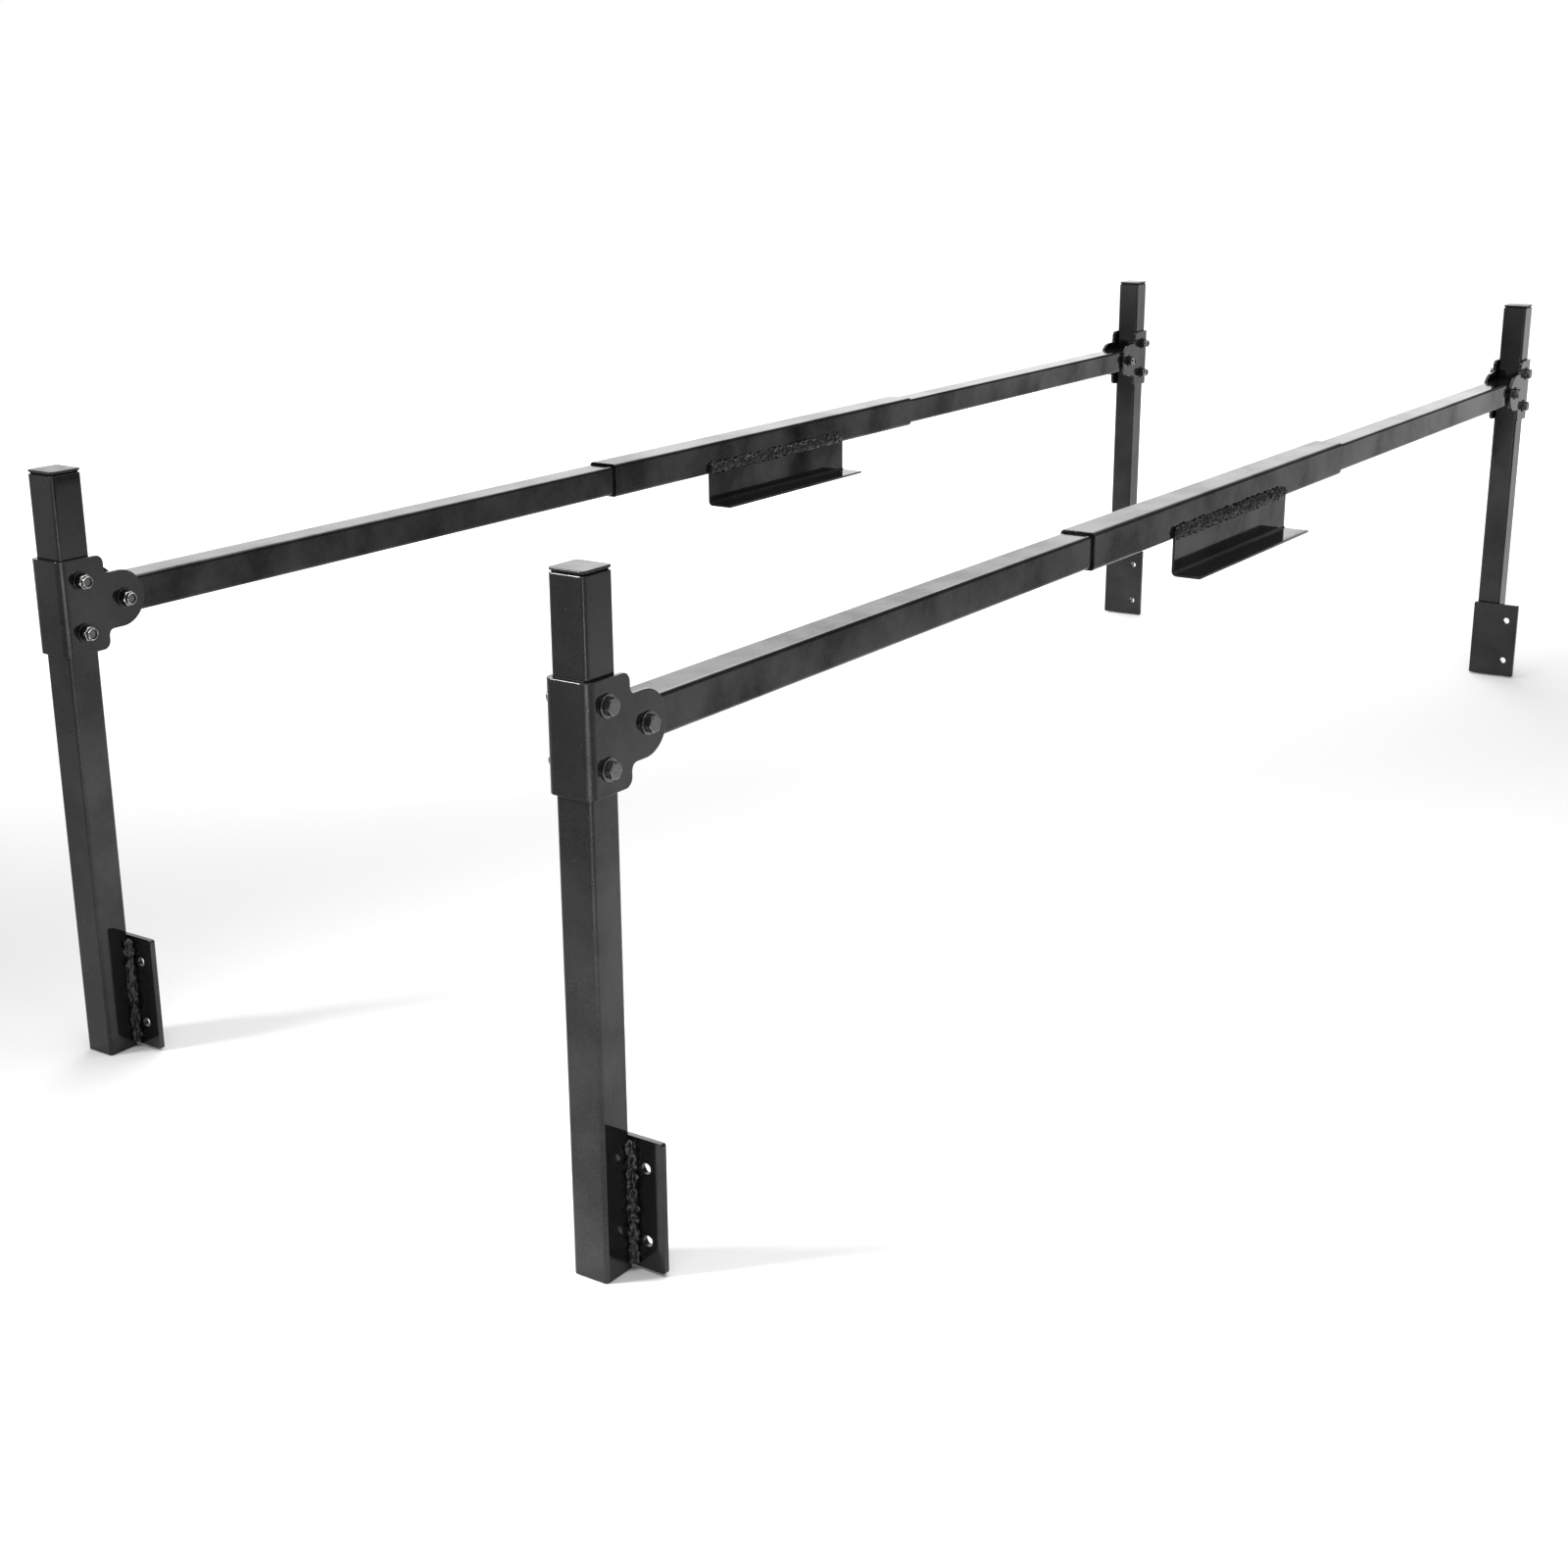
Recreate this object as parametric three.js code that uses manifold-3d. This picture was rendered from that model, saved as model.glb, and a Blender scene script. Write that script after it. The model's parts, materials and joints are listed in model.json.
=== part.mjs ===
// Trailer ladder rack: a pair of free-standing crossbar frames.
// Each frame is two square-tube posts joined by a telescoping rail. A folded clamp plate at the
// head of each post holds the rail end on a pivot bolt, and a foot plate bolts to the vehicle side.
// Units are millimetres. X runs along the vehicle, Y across it, Z up. The vehicle faces -X.
// The origin is on the ground, at the centre of the box around both frames.

import * as THREE from 'three';
import { mergeVertices } from 'three/addons/utils/BufferGeometryUtils.js';
import Module from 'manifold-3d';

const wasm = await Module();
wasm.setup();

// ---- Driving dimensions ----------------------------------------------------------------------

// The pair
const TRACK = 2515;             // post centre to post centre, across the vehicle
const FRAME_SPACING = 755;      // front rail to rear rail, along the vehicle
const FRAME_STAGGER = 86;       // how far the front frame is set over to the right
const RAIL_HEIGHT = 498;        // rail centre above the post's lower end
const POST_RISE = 137;          // post's upper end above the rail centre

// Square tube of the posts and the sliding rail ends
const TUBE = 38.1;
const TUBE_WALL = 2.4;
const TUBE_CORNER = 4;

// Telescoping rail
const SLEEVE_WALL = 2.875;
const SLEEVE_CORNER = 4.8;
const SLEEVE_LENGTH = 770;
const SLEEVE_OFFSET = 18;       // sleeve centre, to the right of the middle of the track
const SLIDE_CLEARANCE = 0.3;
const RAIL_SPLIT = 326.9;       // between the two rail ends, inside the sleeve
const RAIL_END_GAP = 8;         // post face to the outer end of the sliding rail

// Clamp plate, folded into a channel around the post
const CLAMP_THICKNESS = 4.75;
const CLAMP_HEIGHT = 100;
const CLAMP_LAP = 11.95;        // flange edge past the post's inner face
const CLAMP_CORNER = 9;
const CLAMP_FILLET = 6;
const CLAMP_BEND = 9;           // outside radius of the folds
const EAR_RADIUS = 30;
const EAR_SETBACK = 4;          // ear centre short of the pivot bolt
const PIVOT_INSET = 26.95;      // pivot bolt from the outer end of the sliding rail
const POST_BOLT_PITCH = 54.5;

// Foot plate
const PLATE_WIDTH = 76.2;
const PLATE_HEIGHT = 127;
const PLATE_THICKNESS = 6.35;
const PLATE_CORNER = 2.5;
const PLATE_LIFT = 2;           // plate's lower edge above the post's lower end
const PLATE_LAP = 3.15;         // plate edge past the post's face on its short side
const PLATE_HOLE_LAP = 16.45;   // hole centres past the post's face on its long side
const PLATE_HOLE_PITCH = 71;

// Angle welded under the middle of the sleeve
const ANGLE_LENGTH = 350;
const ANGLE_THICKNESS = 3.2;
const ANGLE_LEG = 50.8;
const ANGLE_SHELF = 38.1;
const ANGLE_BEND = 6.4;         // outside radius of the fold
const ANGLE_LAP = 7.025;        // upper edge of the angle above the sleeve's underside

// Weld beads
const FOOT_BEAD = 6;
const ANGLE_BEAD = 7;
const BEAD_MARGIN = 3;          // bead end short of the edge it runs along
const BEAD_BULGE = 0.9;         // how full the bead's section is: 0 is hollow, 1 is square

// Fasteners
const BOLT = 9.5;
const HOLE_CLEARANCE = 0.8;     // hole diameter over the bolt's
const HEX = 14.3;               // across flats
const HEAD_HEIGHT = 6;
const WASHER = 20.6;
const WASHER_THICKNESS = 1.6;
const NUT_HEX_HEIGHT = 7;
const NUT_HEIGHT = 10.5;
const NUT_COLLAR_WALL = 1.25;
const THREAD_CLEARANCE = 0.3;
const BOLT_END_RECESS = 0.8;    // bolt end inside the nut's collar

// Post cap
const CAP_LIP = 4.4;
const CAP_EDGE = 1.4;
const CAP_PLUG = 16;
const CAP_PLUG_WALL = 2;

const GAP = 0.3;                // between pieces that touch
const SEAT = 0.3;               // between a washer and the clamp it bears on
const LEAST_CORNER = 0.8;       // smallest corner radius inside a tube
const OVERCUT = 1;              // how far a cutting shape runs past what it cuts
const OVERLAP = 0.1;            // how far two shapes run into each other where they are one solid

// Facets
const CORNER_STEPS = 3;
const ARC_STEPS = 8;
const HOLE_STEPS = 12;
const BOLT_STEPS = 12;
const WASHER_STEPS = 16;

// ---- Sizes that follow -------------------------------------------------------------------------

const halfTube = TUBE / 2;
const postHeight = RAIL_HEIGHT + POST_RISE;
const hole = BOLT + HOLE_CLEARANCE;
const nutBore = BOLT + 2 * THREAD_CLEARANCE;
const nutCollar = nutBore + 2 * NUT_COLLAR_WALL;
const sleeveSize = TUBE + 2 * (SLIDE_CLEARANCE + SLEEVE_WALL);
const halfSleeve = sleeveSize / 2;
const clampInside = halfTube + GAP;
const clampOutside = clampInside + CLAMP_THICKNESS;
const washerOutside = clampOutside + SEAT + WASHER_THICKNESS;
const headOutside = washerOutside + HEAD_HEIGHT;
const flangeEdge = halfTube + CLAMP_LAP;
const railStart = halfTube + RAIL_END_GAP;
const railLength = (TRACK - RAIL_SPLIT) / 2 - railStart;
const pivotReach = railStart + PIVOT_INSET;
const earCentre = pivotReach - EAR_SETBACK;
const plateShort = halfTube + PLATE_LAP;
const plateLong = PLATE_WIDTH - plateShort;
const plateHoleReach = halfTube + PLATE_HOLE_LAP;
const angleInside = halfSleeve + GAP;
const angleTop = RAIL_HEIGHT - halfSleeve + ANGLE_LAP;
const angleBottom = angleTop - ANGLE_LEG;
const shelfReach = halfSleeve + ANGLE_SHELF;
const frameReachX = Math.max(shelfReach, plateLong, headOutside);
const frameBackX = Math.max(headOutside, plateShort);

// ---- Materials ---------------------------------------------------------------------------------

const finishes = {
  powderCoat: { color: 0x141415, roughness: 0.28, metalness: 0.1 },
  weld: { color: 0x161617, roughness: 0.38, metalness: 0.1 },
  plastic: { color: 0x111112, roughness: 0.5, metalness: 0 },
  zinc: { color: 0x3a3b3d, roughness: 0.35, metalness: 0.9 },
};

// ---- Solids ------------------------------------------------------------------------------------

function solidFrom(geometry) {
  const plain = geometry.clone();
  plain.deleteAttribute('normal');
  plain.deleteAttribute('uv');
  const merged = mergeVertices(plain, 1e-4);
  return new wasm.Manifold(new wasm.Mesh({
    numProp: 3,
    vertProperties: new Float32Array(merged.attributes.position.array),
    triVerts: new Uint32Array(merged.index.array),
  }));
}

function geometryFrom(solid) {
  const mesh = solid.getMesh();
  const geometry = new THREE.BufferGeometry();
  geometry.setAttribute('position', new THREE.BufferAttribute(mesh.vertProperties, 3));
  geometry.setIndex(new THREE.BufferAttribute(mesh.triVerts, 1));
  geometry.computeVertexNormals();
  return geometry;
}

function prism(shape, length, steps) {
  return new THREE.ExtrudeGeometry(shape, { depth: length, bevelEnabled: false, curveSegments: steps });
}

// Turns a prism drawn in (x, z) and extruded forwards so that it runs along +Y.
function alongY(geometry) {
  return geometry.rotateX(Math.PI / 2);
}

// Turns a prism drawn in (y, z) and extruded forwards so that it runs along +X.
function alongX(geometry) {
  return geometry.rotateX(Math.PI / 2).rotateZ(Math.PI / 2);
}

function rod(diameter, length, steps) {
  return new THREE.CylinderGeometry(diameter / 2, diameter / 2, length, steps);
}

function rodAlongX(diameter, length, steps, y, z) {
  return rod(diameter, length, steps).rotateZ(Math.PI / 2).translate(0, y, z);
}

function roundedSquare(size, corner) {
  const half = size / 2;
  const flat = half - corner;
  const shape = new THREE.Shape();
  shape.moveTo(flat, -half);
  shape.absarc(flat, -flat, corner, -Math.PI / 2, 0);
  shape.absarc(flat, flat, corner, 0, Math.PI / 2);
  shape.absarc(-flat, flat, corner, Math.PI / 2, Math.PI);
  shape.absarc(-flat, -flat, corner, Math.PI, Math.PI * 1.5);
  shape.closePath();
  return shape;
}

// Square tube standing on z = 0.
function squareTube(size, wall, corner, length) {
  const shape = roundedSquare(size, corner);
  shape.holes.push(roundedSquare(size - 2 * wall, Math.max(corner - wall, LEAST_CORNER)));
  return prism(shape, length, CORNER_STEPS);
}

// Drills bolt holes along X, right through a piece, at places in (y, z).
function drill(solid, places) {
  const length = 2 * (clampOutside + OVERCUT);
  return places.reduce(
    (rest, [y, z]) => rest.subtract(solidFrom(rodAlongX(hole, length, HOLE_STEPS, y, z))),
    solid,
  );
}

const postBolts = [
  [0, RAIL_HEIGHT + POST_BOLT_PITCH / 2],
  [0, RAIL_HEIGHT - POST_BOLT_PITCH / 2],
];
const pivotBolt = [pivotReach, RAIL_HEIGHT];

// ---- Pieces of one post, with +Y pointing inwards to the middle of the rail -----------------------

function post() {
  const tube = solidFrom(squareTube(TUBE, TUBE_WALL, TUBE_CORNER, postHeight));
  return geometryFrom(drill(tube, postBolts));
}

// A low lid with a bevelled upper edge, and a hollow plug that grips the inside of the tube.
function postCap() {
  const straight = CAP_LIP - CAP_EDGE;
  const seat = postHeight + GAP;
  const lid = new THREE.ExtrudeGeometry(roundedSquare(TUBE - 2 * CAP_EDGE, TUBE_CORNER - CAP_EDGE), {
    depth: straight,
    bevelEnabled: true,
    bevelThickness: CAP_EDGE,
    bevelSize: CAP_EDGE,
    bevelSegments: 1,
    curveSegments: CORNER_STEPS,
  }).translate(0, 0, seat);
  const below = new THREE.BoxGeometry(TUBE + OVERCUT, TUBE + OVERCUT, CAP_LIP)
    .translate(0, 0, seat - CAP_LIP / 2);
  const rim = prism(roundedSquare(TUBE, TUBE_CORNER), straight, CORNER_STEPS).translate(0, 0, seat);
  const plugSize = TUBE - 2 * (TUBE_WALL + GAP);
  const plugCorner = Math.max(TUBE_CORNER - TUBE_WALL, LEAST_CORNER);
  const plug = squareTube(plugSize, CAP_PLUG_WALL, plugCorner, CAP_PLUG)
    .translate(0, 0, seat + straight / 2 - CAP_PLUG);
  const head = solidFrom(lid).subtract(solidFrom(below)).add(solidFrom(rim));
  return geometryFrom(head.add(solidFrom(plug)));
}

// The outline of the clamp's flanges: a plate with an ear, in (y, z) about the rail centre.
function clampOutline() {
  const half = CLAMP_HEIGHT / 2;
  const edge = flangeEdge;
  const corner = CLAMP_CORNER;
  const fillet = Math.max(Math.min(CLAMP_FILLET, half - corner - EAR_RADIUS), OVERLAP);
  const outer = -clampOutside - OVERCUT;
  const shape = new THREE.Shape();
  shape.moveTo(outer, -half);
  shape.lineTo(edge - corner, -half);
  shape.absarc(edge - corner, -half + corner, corner, -Math.PI / 2, 0);
  shape.absarc(edge + fillet, -EAR_RADIUS - fillet, fillet, Math.PI, Math.PI / 2, true);
  shape.absarc(earCentre, 0, EAR_RADIUS, -Math.PI / 2, Math.PI / 2);
  shape.absarc(edge + fillet, EAR_RADIUS + fillet, fillet, Math.PI * 1.5, Math.PI, true);
  shape.absarc(edge - corner, half - corner, corner, 0, Math.PI / 2);
  shape.lineTo(outer, half);
  shape.closePath();
  return shape;
}

// The folded channel seen from above: a web on the outer side and two long flanges.
function clampChannel() {
  const reach = earCentre + EAR_RADIUS + OVERCUT;
  const bend = CLAMP_BEND;
  const insideBend = bend - CLAMP_THICKNESS;
  const out = clampOutside;
  const inn = clampInside;
  const shape = new THREE.Shape();
  shape.moveTo(out, reach);
  shape.lineTo(inn, reach);
  shape.lineTo(inn, -inn + insideBend);
  shape.absarc(inn - insideBend, -inn + insideBend, insideBend, 0, -Math.PI / 2, true);
  shape.lineTo(-inn + insideBend, -inn);
  shape.absarc(-inn + insideBend, -inn + insideBend, insideBend, -Math.PI / 2, -Math.PI, true);
  shape.lineTo(-inn, reach);
  shape.lineTo(-out, reach);
  shape.lineTo(-out, -out + bend);
  shape.absarc(-out + bend, -out + bend, bend, Math.PI, Math.PI * 1.5);
  shape.lineTo(out - bend, -out);
  shape.absarc(out - bend, -out + bend, bend, -Math.PI / 2, 0);
  shape.closePath();
  return shape;
}

function clamp() {
  const channel = prism(clampChannel(), CLAMP_HEIGHT + 2 * OVERCUT, CORNER_STEPS)
    .translate(0, 0, RAIL_HEIGHT - CLAMP_HEIGHT / 2 - OVERCUT);
  const width = 2 * (clampOutside + OVERCUT);
  const outline = alongX(prism(clampOutline(), width, ARC_STEPS)).translate(-width / 2, 0, RAIL_HEIGHT);
  const plate = solidFrom(channel).intersect(solidFrom(outline));
  return geometryFrom(drill(plate, [...postBolts, pivotBolt]));
}

function mirrored(solid, side) {
  return side > 0 ? solid : solid.mirror([1, 0, 0]);
}

// The plate's long side points to +X when side is 1, and to -X when side is -1.
function footPlate(side) {
  const left = -plateShort;
  const right = plateLong;
  const top = PLATE_LIFT + PLATE_HEIGHT;
  const corner = PLATE_CORNER;
  const shape = new THREE.Shape();
  shape.moveTo(left + corner, PLATE_LIFT);
  shape.absarc(right - corner, PLATE_LIFT + corner, corner, -Math.PI / 2, 0);
  shape.absarc(right - corner, top - corner, corner, 0, Math.PI / 2);
  shape.absarc(left + corner, top - corner, corner, Math.PI / 2, Math.PI);
  shape.absarc(left + corner, PLATE_LIFT + corner, corner, Math.PI, Math.PI * 1.5);
  shape.closePath();
  const middle = PLATE_LIFT + PLATE_HEIGHT / 2;
  for (const z of [middle - PLATE_HOLE_PITCH / 2, middle + PLATE_HOLE_PITCH / 2]) {
    const drilled = new THREE.Path();
    drilled.absarc(plateHoleReach, z, hole / 2, 0, 2 * Math.PI);
    shape.holes.push(drilled);
  }
  const plate = alongY(prism(shape, PLATE_THICKNESS, CORNER_STEPS))
    .translate(0, halfTube + GAP + PLATE_THICKNESS, 0);
  return geometryFrom(mirrored(solidFrom(plate), side));
}

// A fillet bead standing in the corner between two faces, drawn from the corner outwards.
function beadShape(acrossX, acrossY) {
  const shape = new THREE.Shape();
  shape.moveTo(0, 0);
  shape.lineTo(acrossX, 0);
  shape.quadraticCurveTo(acrossX * BEAD_BULGE, -acrossY * BEAD_BULGE, 0, -acrossY);
  shape.closePath();
  return shape;
}

function footBead(side, width) {
  const length = PLATE_HEIGHT - 2 * BEAD_MARGIN;
  const bead = prism(beadShape(width, FOOT_BEAD), length, CORNER_STEPS)
    .translate(halfTube + GAP, halfTube, PLATE_LIFT + BEAD_MARGIN);
  return geometryFrom(mirrored(solidFrom(bead), side));
}

// Hexagon across flats, with its corners up and down.
function hexagon(acrossFlats) {
  const radius = acrossFlats / Math.sqrt(3);
  const corners = Array.from({ length: 6 }, (_, i) => {
    const angle = Math.PI / 2 + i * Math.PI / 3;
    return new THREE.Vector2(radius * Math.cos(angle), radius * Math.sin(angle));
  });
  return new THREE.Shape(corners);
}

function disc(diameter, thickness, start) {
  return rod(diameter, thickness, WASHER_STEPS).rotateX(Math.PI / 2).translate(0, 0, start + thickness / 2);
}

function flatWasher() {
  return disc(WASHER, WASHER_THICKNESS + OVERLAP, clampOutside + SEAT);
}

// Bolt and washer, drawn along +Z from the middle of the clamp; the head is at +Z.
function boltGeometry() {
  const end = -(washerOutside + NUT_HEIGHT - BOLT_END_RECESS);
  const start = washerOutside + HEAD_HEIGHT / 2;
  const shank = rod(BOLT, start - end, BOLT_STEPS).rotateX(Math.PI / 2)
    .translate(0, 0, (start + end) / 2);
  const head = prism(hexagon(HEX), HEAD_HEIGHT, 1).translate(0, 0, washerOutside);
  return geometryFrom(solidFrom(head).add(solidFrom(shank)).add(solidFrom(flatWasher())));
}

// Locking nut and washer, drawn the same way, with a round collar at +Z.
function nutGeometry() {
  const hex = prism(hexagon(HEX), NUT_HEX_HEIGHT, 1).translate(0, 0, washerOutside);
  const collar = disc(nutCollar, NUT_HEIGHT - NUT_HEX_HEIGHT + OVERLAP,
    washerOutside + NUT_HEX_HEIGHT - OVERLAP);
  const bore = rod(nutBore, 2 * (washerOutside + NUT_HEIGHT + OVERCUT), BOLT_STEPS).rotateX(Math.PI / 2);
  const whole = solidFrom(hex).add(solidFrom(collar)).add(solidFrom(flatWasher()));
  return geometryFrom(whole.subtract(solidFrom(bore)));
}

// ---- Pieces of the rail, with +Y pointing to the right of the vehicle ------------------------------

function slidingRail() {
  const tube = squareTube(TUBE, TUBE_WALL, TUBE_CORNER, railLength)
    .rotateX(-Math.PI / 2).translate(0, railStart, RAIL_HEIGHT);
  return geometryFrom(drill(solidFrom(tube), [pivotBolt]));
}

function sleeve() {
  return squareTube(sleeveSize, SLEEVE_WALL, SLEEVE_CORNER, SLEEVE_LENGTH).rotateX(-Math.PI / 2)
    .translate(0, SLEEVE_OFFSET - SLEEVE_LENGTH / 2, RAIL_HEIGHT);
}

function angleBracket() {
  const bottom = angleBottom;
  const inner = angleInside;
  const outer = inner + ANGLE_THICKNESS;
  const insideBend = ANGLE_BEND - ANGLE_THICKNESS;
  const shape = new THREE.Shape();
  shape.moveTo(inner, angleTop);
  shape.lineTo(inner, bottom + ANGLE_BEND);
  shape.absarc(inner + ANGLE_BEND, bottom + ANGLE_BEND, ANGLE_BEND, Math.PI, Math.PI * 1.5);
  shape.lineTo(shelfReach, bottom);
  shape.lineTo(shelfReach, bottom + ANGLE_THICKNESS);
  shape.lineTo(outer + insideBend, bottom + ANGLE_THICKNESS);
  shape.absarc(outer + insideBend, bottom + ANGLE_BEND, insideBend, Math.PI * 1.5, Math.PI, true);
  shape.lineTo(outer, angleTop);
  shape.closePath();
  return alongY(prism(shape, ANGLE_LENGTH, CORNER_STEPS))
    .translate(0, SLEEVE_OFFSET + ANGLE_LENGTH / 2, 0);
}

function angleBead() {
  const length = ANGLE_LENGTH - 2 * BEAD_MARGIN;
  const shape = new THREE.Shape();
  shape.moveTo(0, 0);
  shape.lineTo(ANGLE_THICKNESS, 0);
  shape.quadraticCurveTo(ANGLE_THICKNESS, ANGLE_BEAD * BEAD_BULGE, 0, ANGLE_BEAD);
  shape.closePath();
  return alongY(prism(shape, length, CORNER_STEPS))
    .translate(angleInside, SLEEVE_OFFSET + length / 2, angleTop + GAP);
}

// ---- Assembly ------------------------------------------------------------------------------------

function piece(name, geometry, finish) {
  const mesh = new THREE.Mesh(geometry, new THREE.MeshStandardMaterial(finishes[finish]));
  mesh.name = name;
  return mesh;
}

const bolts = {
  upper: postBolts[0],
  lower: postBolts[1],
  pivot: pivotBolt,
};

// One bolt and its nut; the head is at +X when headSide is 1.
function fastener(prefix, place, [y, z], headSide) {
  const set = new THREE.Group();
  const bolt = piece(`${prefix}_${place}_bolt`, boltGeometry(), 'zinc');
  bolt.rotation.y = headSide * Math.PI / 2;
  const nut = piece(`${prefix}_${place}_nut`, nutGeometry(), 'zinc');
  nut.rotation.y = -headSide * Math.PI / 2;
  set.add(bolt, nut);
  set.position.set(0, y, z);
  return set;
}

// A post with everything bolted and welded to it. inward is 1 for a left post, and -1 for a right
// post, which is the same set turned half round with its plate and bolt heads kept to their side.
function corner(prefix, inward, headSide) {
  const group = new THREE.Group();
  group.add(piece(`${prefix}_post`, post(), 'powderCoat'));
  group.add(piece(`${prefix}_cap`, postCap(), 'plastic'));
  group.add(piece(`${prefix}_clamp`, clamp(), 'powderCoat'));
  group.add(piece(`${prefix}_foot_plate`, footPlate(inward), 'powderCoat'));
  group.add(piece(`${prefix}_foot_weld`, footBead(inward, FOOT_BEAD), 'weld'));
  group.add(piece(`${prefix}_back_weld`, footBead(-inward, PLATE_LAP - GAP), 'weld'));
  group.add(piece(`${prefix}_rail`, slidingRail(), 'powderCoat'));
  for (const [place, at] of Object.entries(bolts)) {
    group.add(fastener(prefix, place, at, inward * headSide));
  }
  group.position.y = -inward * TRACK / 2;
  group.rotation.z = inward > 0 ? 0 : Math.PI;
  return group;
}

function frame(name, headSide) {
  const group = new THREE.Group();
  group.add(corner(`${name}_left`, 1, headSide));
  group.add(corner(`${name}_right`, -1, headSide));
  group.add(piece(`${name}_sleeve`, sleeve(), 'powderCoat'));
  group.add(piece(`${name}_angle`, angleBracket(), 'powderCoat'));
  group.add(piece(`${name}_angle_weld`, angleBead(), 'weld'));
  return group;
}

const rack = new THREE.Group();
const centreX = (frameReachX - frameBackX) / 2;

const rear = frame('rear', 1);
rear.position.set(FRAME_SPACING / 2 - centreX, -FRAME_STAGGER / 2, 0);
const front = frame('front', -1);
front.position.set(-FRAME_SPACING / 2 - centreX, FRAME_STAGGER / 2, 0);
rack.add(rear, front);

export default rack;
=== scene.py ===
"""Looks of a trailer ladder rack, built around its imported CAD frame.

Every piece is drawn in millimetres about its own post or rail, then moved to where the CAD node is.
Left posts are drawn with +Y inwards; right posts are the same set turned half round.
"""

import json
import math
import random

import bmesh
import bpy
import numpy as np
from mathutils import Matrix, Vector, noise
from mathutils.geometry import delaunay_2d_cdt

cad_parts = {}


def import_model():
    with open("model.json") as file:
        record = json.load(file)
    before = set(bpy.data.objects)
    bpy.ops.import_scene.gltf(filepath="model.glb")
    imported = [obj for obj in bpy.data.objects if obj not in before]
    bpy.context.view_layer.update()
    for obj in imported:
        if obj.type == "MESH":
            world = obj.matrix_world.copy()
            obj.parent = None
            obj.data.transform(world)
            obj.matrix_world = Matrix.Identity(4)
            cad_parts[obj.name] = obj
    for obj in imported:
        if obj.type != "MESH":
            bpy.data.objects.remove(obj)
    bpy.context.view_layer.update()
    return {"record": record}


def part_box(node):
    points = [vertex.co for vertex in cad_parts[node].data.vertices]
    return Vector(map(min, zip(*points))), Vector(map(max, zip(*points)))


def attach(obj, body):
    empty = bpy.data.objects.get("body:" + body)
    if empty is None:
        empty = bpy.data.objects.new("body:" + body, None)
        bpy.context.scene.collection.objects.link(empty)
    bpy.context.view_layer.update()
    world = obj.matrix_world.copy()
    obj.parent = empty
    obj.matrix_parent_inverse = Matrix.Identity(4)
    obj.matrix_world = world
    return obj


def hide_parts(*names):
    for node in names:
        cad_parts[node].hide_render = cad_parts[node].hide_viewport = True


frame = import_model()

MM = 0.001
QUARTER = math.pi / 2

# ---- Sizes in millimetres ----------------------------------------------------------------------

TUBE_CORNER = 4.0
TUBE_WALL = 2.4
SLEEVE_CORNER = 5.2
SLEEVE_WALL = 2.875
CUT_EDGE = 0.7              # rounding of a sawn or sheared edge under its coat
CORNER_STEPS = 7

CLAMP_THICKNESS = 4.75
CLAMP_BEND = 9.0
CLAMP_LAP = 11.95           # flange edge past the post's inner face
CLAMP_CORNER = 9.0
CLAMP_FILLET = 6.0
EAR_RADIUS = 30.0
EAR_SETBACK = 4.0           # ear centre short of the pivot bolt
CLAMP_GAP = 0.3             # between the post and the clamp around it
POST_BOLT_REACH = 27.25     # post bolts above and below the rail centre
FOLD_STEPS = 8
ROUND_STEPS = 8             # in a clamp's corner or fillet
EAR_STEPS = 40

PLATE_CORNER = 2.5
PLATE_EDGE = 0.7
PLATE_STEPS = 5
HOLE = 10.3
HOLE_STEPS = 32
DRILL_LENGTH = 80.0         # longer than any tube is wide
HOLE_PITCH = 71.0
HOLE_LAP = 16.45            # foot plate holes past the post's face

ANGLE_THICKNESS = 3.2
ANGLE_BEND = 6.4
ANGLE_CORNER = 1.2
ANGLE_STEPS = 3

BOLT = 9.5
HEX = 14.3
HEAD_HEIGHT = 6.0
WASHER = 20.6
WASHER_THICKNESS = 1.6
NUT_HEX_HEIGHT = 7.0
NUT_HEIGHT = 10.5
COLLAR = 12.6
NUT_BORE = 10.1
BOLT_END = 1.5              # the bolt ends this far inside its nut's top
TURN_STEPS = 72

HEX_SOFTNESS = 26.0         # how sharp the hexagon's corners are
CHAMFER_SLOPE = math.tan(math.radians(28))

CAP_LIP = 4.4
CAP_GAP = 0.3               # between the tube's end and the lid, and the tube's wall and the plug
CAP_EDGE = 1.0
CAP_NECK = 1.6              # the lid stands this far off the tube, on a neck inside its edge
CAP_NECK_INSET = 1.9
CAP_CROWN = 0.25
CAP_PLUG = 16.0
CAP_RIBS = 3
CAP_RIB_PITCH = 4.0
CAP_CENTRE = 1.2            # half the width of the small flat at a lid's centre

# Weld beads. A bead is dabs that overlap: pitch is their distance, lump how high they stand,
# ripple the fine waves on them, and ends how far the bead's ends taper.
BEAD_STEP = 0.55
BEAD_SIDES = 14
BEAD_TIP = 0.15             # size of a bead's very end, as a share of the whole
DAB_WIDTH = 0.62            # half width of a dab, as a share of the bead's face
RIPPLE_PITCH = 2.4
FOOT_BEAD_FULLNESS = 1.35
FOOT_BEAD = {"pitch": 11.0, "ripple": 0.15, "ends": 3.0}
FOOT_LUMP = 0.9
BACK_LUMP = 0.6
SHELF_BEAD = {"pitch": 7.0, "lump": 3.6, "ripple": 0.6, "ends": 3.5}
SHELF_BEAD_RISE = 9.0       # up the sleeve, from the angle's upper edge
SHELF_BEAD_LAP = 6.0        # down the angle
BEAD_SUNK = 0.25            # how far a bead's back lies inside what it is welded to

# ---- Arrangement -------------------------------------------------------------------------------

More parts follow.
